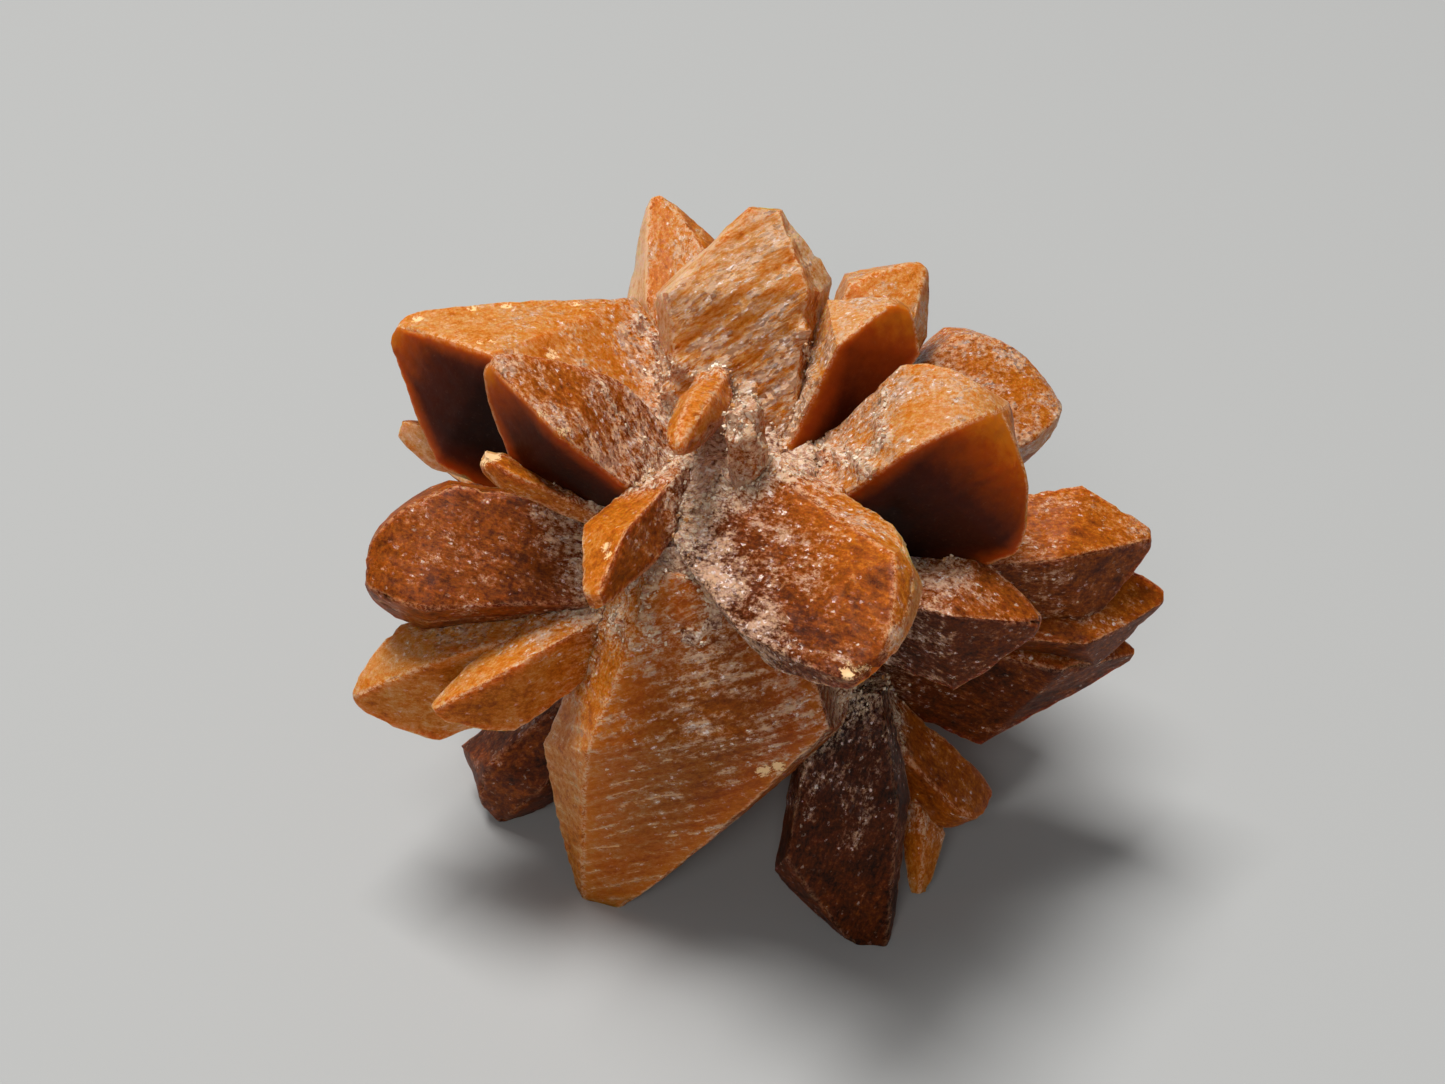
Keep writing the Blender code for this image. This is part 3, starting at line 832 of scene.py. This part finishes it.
# Worn ridges, rubbed pale where the crystal's tone is light: partly real wear and
# partly a painted highlight along the ridges.
worn_and_highlit = add(tree, "MapRange", ridge_distance, 0.05, 0.32, 1.0, 0.0, **SMOOTH)
rubbed = add(tree, "MapRange", sparkle, 0.42, 0.6, 0.0, 0.9, **SMOOTH)
worn_and_highlit = add(tree, "Math", worn_and_highlit, rubbed, operation="MULTIPLY")
light_part = add(tree, "MapRange", tone, 0.3, 0.8, 0.2, 1.0)
worn_and_highlit = add(tree, "Math", worn_and_highlit, light_part, operation="MULTIPLY")
colour = add(tree, "Mix", at={0: worn_and_highlit, 6: colour, 7: SUGAR}, **COLOUR)

# Fresh chips, cream-coloured.
CREAM = srgb("#ffd29a")
chip = add(tree, "Attribute", attribute_name="chip", give="Fac")
chip = add(tree, "Math", sparkle, 1.2, chip, operation="MULTIPLY_ADD")
chip = add(tree, "MapRange", chip, 0.65, 0.8, 0.0, 0.95, **SMOOTH)
colour = add(tree, "Mix", at={0: chip, 6: colour, 7: CREAM}, **COLOUR)
tree.links.new(colour, shader.inputs["Base Color"])

# Each grain is a small facet that looks its own way, 0.03 mm proud of the skin.
tilt = add(tree, "VectorMath", facets, (0.5, 0.5, 0.5), operation="SUBTRACT")
tilting = add(tree, "MapRange", cover, 0.0, 0.7, 0.1, 1.0)
tilt = add(tree, "VectorMath", tilt, at={"Scale": tilting}, operation="SCALE")
facing = add(tree, "NewGeometry", give="Normal")
facing = add(tree, "VectorMath", facing, tilt, operation="ADD")
facing = add(tree, "VectorMath", facing, operation="NORMALIZE")
relief = add(tree, "Math", grains, 0.5, grit, operation="MULTIPLY_ADD")
raised = add(tree, "MapRange", cover, 0.0, 0.7, 0.25, 1.0)
relief = add(tree, "Math", relief, raised, operation="MULTIPLY")
GRAIN_RELIEF = 0.03 * MM
uneven_facing = add(tree, "Bump", at={"Distance": GRAIN_RELIEF, "Height": relief, "Normal": facing})
tree.links.new(uneven_facing, shader.inputs["Normal"])

# Bare calcite is waxy, and the facets of its frost are smooth. Light goes into it,
# red light the furthest, but hardly into frost, threads, worn ridges and chips.
roughness = add(tree, "MapRange", cover, 0.0, 0.5, 0.5, 0.2)
tree.links.new(roughness, shader.inputs["Roughness"])
opaque = add(tree, "Math", cover, thread, operation="MAXIMUM")
opaque = add(tree, "Math", opaque, worn_and_highlit, operation="MAXIMUM")
opaque = add(tree, "Math", opaque, chip, operation="MAXIMUM")
clearness = add(tree, "MapRange", opaque, 0.0, 0.7, 0.9, 0.15)
tree.links.new(clearness, shader.inputs["Subsurface Weight"])

# Calcite bends light by 1.49 to 1.66. A waxy skin shines less than clean calcite.
CALCITE_IOR = 1.5
shader.inputs["IOR"].default_value = CALCITE_IOR
shader.inputs["Specular IOR Level"].default_value = 0.12
shader.inputs["Subsurface Scale"].default_value = 1.4 * MM
shader.inputs["Subsurface Radius"].default_value = (1.0, 0.32, 0.08)
cluster.data.materials.clear()
cluster.data.materials.append(calcite)


# The sugary crust.
# Small rhombs of calcite, white to honey-coloured, that have grown on in the clefts
# and are broken along their cleavage, so that each is a leaning box.

CLEAVAGE = Matrix(((1, 0.2, 0.2), (0, 0.98, 0.17), (0, 0, 0.96))).to_4x4()
PLUMPNESS = (0.6, 1.2)
BATCH = 64

crust_mesh = bmesh.new()
for start in range(0, len(grain_places), BATCH):
    batch = bmesh.new()
    for place, size in grain_places[start : start + BATCH]:
        angle = random.uniform(0, math.tau)
        axis = Vector([random.gauss(0, 1) for _ in range(3)])
        turn = Matrix.Rotation(angle, 4, axis)
        scale = Matrix.Diagonal([size * random.uniform(*PLUMPNESS) for _ in range(3)]).to_4x4()
        placed = Matrix.Scale(MM, 4) @ Matrix.Translation(place) @ turn @ CLEAVAGE @ scale
        bmesh.ops.create_cube(batch, size=1, matrix=placed)
    bmesh.ops.recalc_face_normals(batch, faces=batch.faces)
    made = bpy.data.meshes.new("batch")
    batch.to_mesh(made)
    batch.free()
    crust_mesh.from_mesh(made)
    bpy.data.meshes.remove(made)
crust_grains = as_object("crust_grains", crust_mesh)
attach(crust_grains, "root")

# Sugary calcite: grains from chalky white to honey, each with bright flat facets.
# The blotches are 0.8 mm wide and the specks 0.2 mm.
HONEY_GRAIN = srgb("#c08448")
sugar = bpy.data.materials.new("sugary calcite")
sugar.use_nodes = True
tree = sugar.node_tree
shader = tree.nodes["Principled BSDF"]
place = add(tree, "TexCoord", give="Object")
blotch = add(tree, "TexNoise", at={"Vector": place, "Scale": 1.2 / MM, "Detail": 2.0})
speck = add(tree, "TexNoise", at={"Vector": place, "Scale": 5.0 / MM, "Detail": 1.0})
mixed = add(tree, "Math", blotch, speck, operation="ADD")
pale = add(tree, "MapRange", mixed, 0.8, 1.08, **SMOOTH)
colour = add(tree, "Mix", at={0: pale, 6: HONEY_GRAIN, 7: CHALK}, **COLOUR)
tree.links.new(colour, shader.inputs["Base Color"])
shader.inputs["Roughness"].default_value = 0.35
shader.inputs["IOR"].default_value = CALCITE_IOR
crust_grains.data.materials.append(sugar)


# The floor.
# A sheet of card on which the cluster stands, large enough to fill the picture
# from every side. It is cut flat and isn't part of the object.

FLOOR_SIZE = 1.5
floor_mesh = bmesh.new()
bmesh.ops.create_grid(floor_mesh, x_segments=1, y_segments=1, size=FLOOR_SIZE)
floor = as_object("floor", floor_mesh)

# Matt card: pale grey and without gloss, so that it shows only soft shadows.
card = bpy.data.materials.new("matt card")
card.use_nodes = True
shader = card.node_tree.nodes["Principled BSDF"]
shader.inputs["Base Color"].default_value = srgb("#b2b2b0")
shader.inputs["Roughness"].default_value = 0.9
floor.data.materials.append(card)


# The light and the camera.
# A soft lamp above and a little behind the cluster, a weak one from the front, and
# a 60 mm lens that looks down on it by 38 degrees.

world = bpy.data.worlds.new("studio")
bpy.context.scene.world = world
world.use_nodes = True
background = world.node_tree.nodes["Background"]
background.inputs["Color"].default_value = srgb("#dfe3e8")
background.inputs["Strength"].default_value = 0.1


def soft_light(name, place, size, power):
    """A square lamp that faces the heart. Its place and size are in metres."""
    lamp = bpy.data.lights.new(name, "AREA")
    lamp.size = size
    lamp.energy = power
    made = bpy.data.objects.new(name, lamp)
    bpy.context.scene.collection.objects.link(made)
    made.location = place
    way = Vector((0, 0, HEART_HEIGHT * MM)) - Vector(place)
    made.rotation_euler = way.to_track_quat("-Z", "Y").to_euler()
    return made


soft_light("window", (-0.15, 0.12, 0.8), 0.3, 7.2)
soft_light("fill", (-0.1, -0.6, 0.5), 0.25, 1.2)

# How far off the camera is, and the point that it looks at, from the heart's place.
ELEVATION = math.radians(38)
CAMERA_DISTANCE = 124.2
AIM_ACROSS = -1.42
AIM_UP = 1.70
picture_up = Vector((0, math.sin(ELEVATION), math.cos(ELEVATION)))
towards = Vector((0, -math.cos(ELEVATION), math.sin(ELEVATION)))
aim = heart_place + Vector((AIM_ACROSS, 0, 0)) + picture_up * AIM_UP

# A 60 mm lens before a 36 mm wide sensor.
lens = bpy.data.cameras.new("camera")
lens.lens = 60
lens.sensor_width = 36
lens.clip_start = 10 * MM
camera = bpy.data.objects.new("camera", lens)
bpy.context.scene.collection.objects.link(camera)
camera.location = (aim + towards * CAMERA_DISTANCE) * MM
camera.rotation_euler = (math.radians(90) - ELEVATION, 0, 0)
bpy.context.scene.camera = camera
bpy.context.scene.view_settings.view_transform = "Standard"
